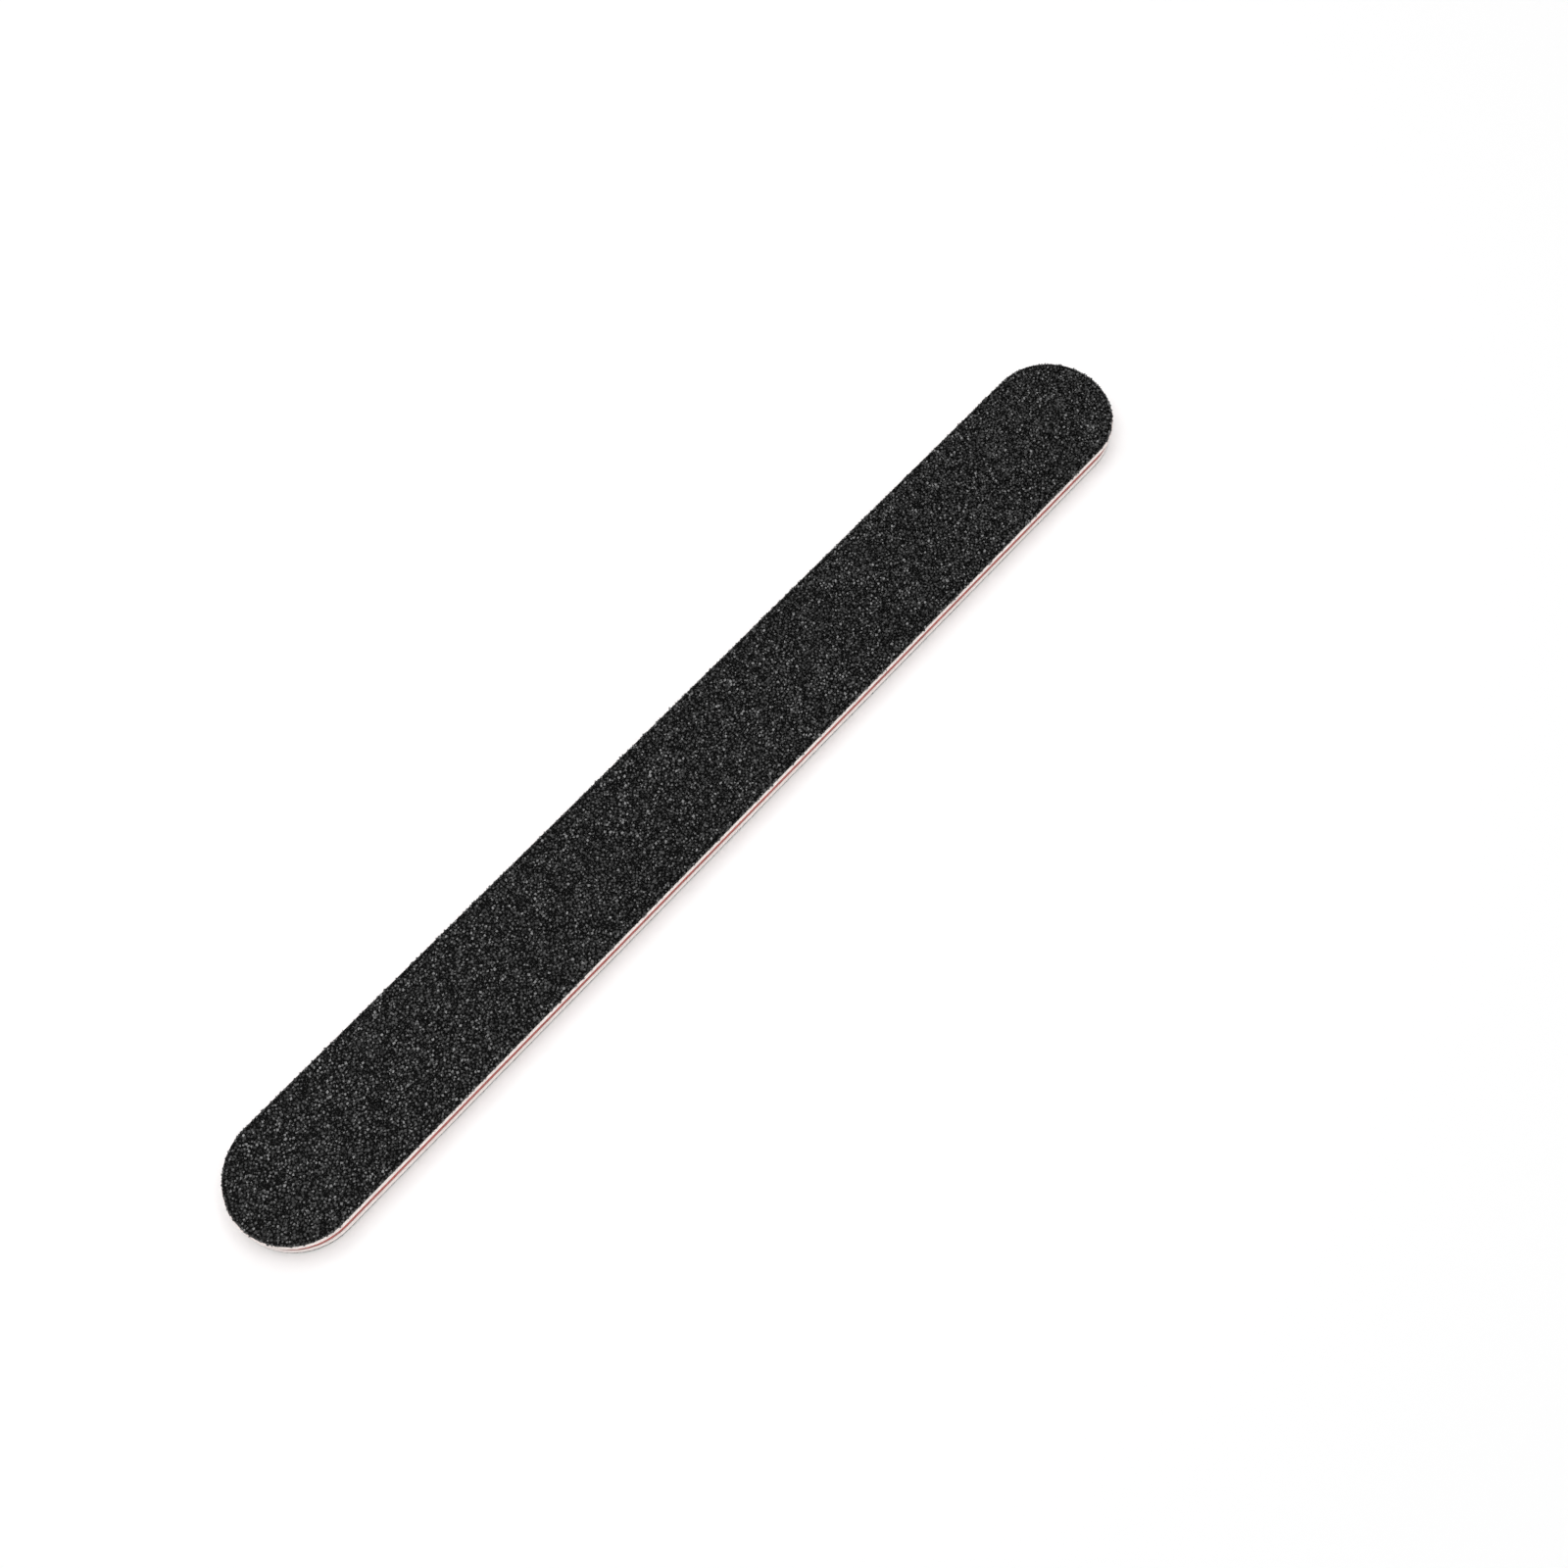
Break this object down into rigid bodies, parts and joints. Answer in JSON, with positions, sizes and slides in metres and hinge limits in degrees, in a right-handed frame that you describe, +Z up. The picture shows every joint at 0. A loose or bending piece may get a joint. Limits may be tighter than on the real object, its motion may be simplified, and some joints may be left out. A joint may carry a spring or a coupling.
{
  "type": "emery board",
  "caption": "Straight emery board with full-round ends: a coarse and a fine abrasive face over foam cushions on a stiff plastic core, for filing nails.",
  "frame": {"origin": "under the middle of the board, on the plane that the fine face rests on", "axes": "+X along the board, +Y across it, +Z up out of the coarse face"},
  "size_m": [0.178, 0.0194, 0.0042],
  "materials": {
    "coarse_grains": "matte, sharp black grains with grey glints",
    "fine_grains": "matte, close black grains",
    "resin": "satin black resin film",
    "paper": "matte off-white paper",
    "foam": "matte white closed-cell foam",
    "glue": "milky adhesive film",
    "core": "coral-red plastic with a cut edge"
  },
  "bodies": {
    "root": {"fine_size_coat": "resin", "fine_grit": "fine_grains", "fine_make_coat": "resin", "fine_backing_paper": "paper", "fine_paper_glue": "glue", "fine_foam_cushion": "foam", "fine_core_glue": "glue", "plastic_core": "core", "coarse_core_glue": "glue", "coarse_foam_cushion": "foam", "coarse_paper_glue": "glue", "coarse_backing_paper": "paper", "coarse_make_coat": "resin", "coarse_grit": "coarse_grains", "coarse_size_coat": "resin"}
  },
  "joints": []
}
